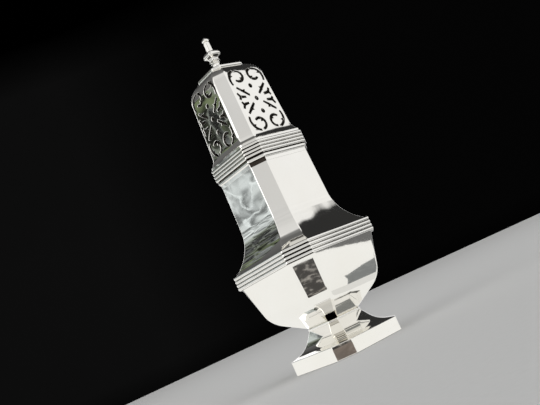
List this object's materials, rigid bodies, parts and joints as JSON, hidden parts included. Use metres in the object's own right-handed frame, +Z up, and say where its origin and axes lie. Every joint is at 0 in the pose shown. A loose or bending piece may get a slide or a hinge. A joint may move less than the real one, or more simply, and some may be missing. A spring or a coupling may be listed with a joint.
{
  "type": "sugar caster",
  "caption": "Pear-shaped silver sugar caster of canted-square section on a spreading foot, with reeded bands and a lift-off pierced cover under a faceted finial.",
  "frame": {"origin": "centre of the foot's underside, on the surface that the caster stands on", "axes": "+Z up along the caster's axis; X and Y each square to two of its broad faces"},
  "size_m": [0.0586, 0.0586, 0.17],
  "materials": {
    "polished_silver": "mirror-polished sterling silver",
    "bezel_silver": "plain sterling silver, rubbed by use"
  },
  "bodies": {
    "body": {"foot_rim": "polished_silver", "spreading_foot": "polished_silver", "foot_collar": "polished_silver", "bowl": "polished_silver", "belly_band": "polished_silver", "upper_body": "polished_silver", "rim_moulding": "polished_silver"},
    "cover": {"cover_bezel": "bezel_silver", "cover_band": "polished_silver", "pierced_cover": "polished_silver", "finial_plate": "polished_silver", "finial": "polished_silver"}
  },
  "joints": [
    {"name": "cover_lift", "type": "slide", "parent": "body", "child": "cover", "axis": [0, 0, 1], "range_m": [0, 0.05]}
  ]
}
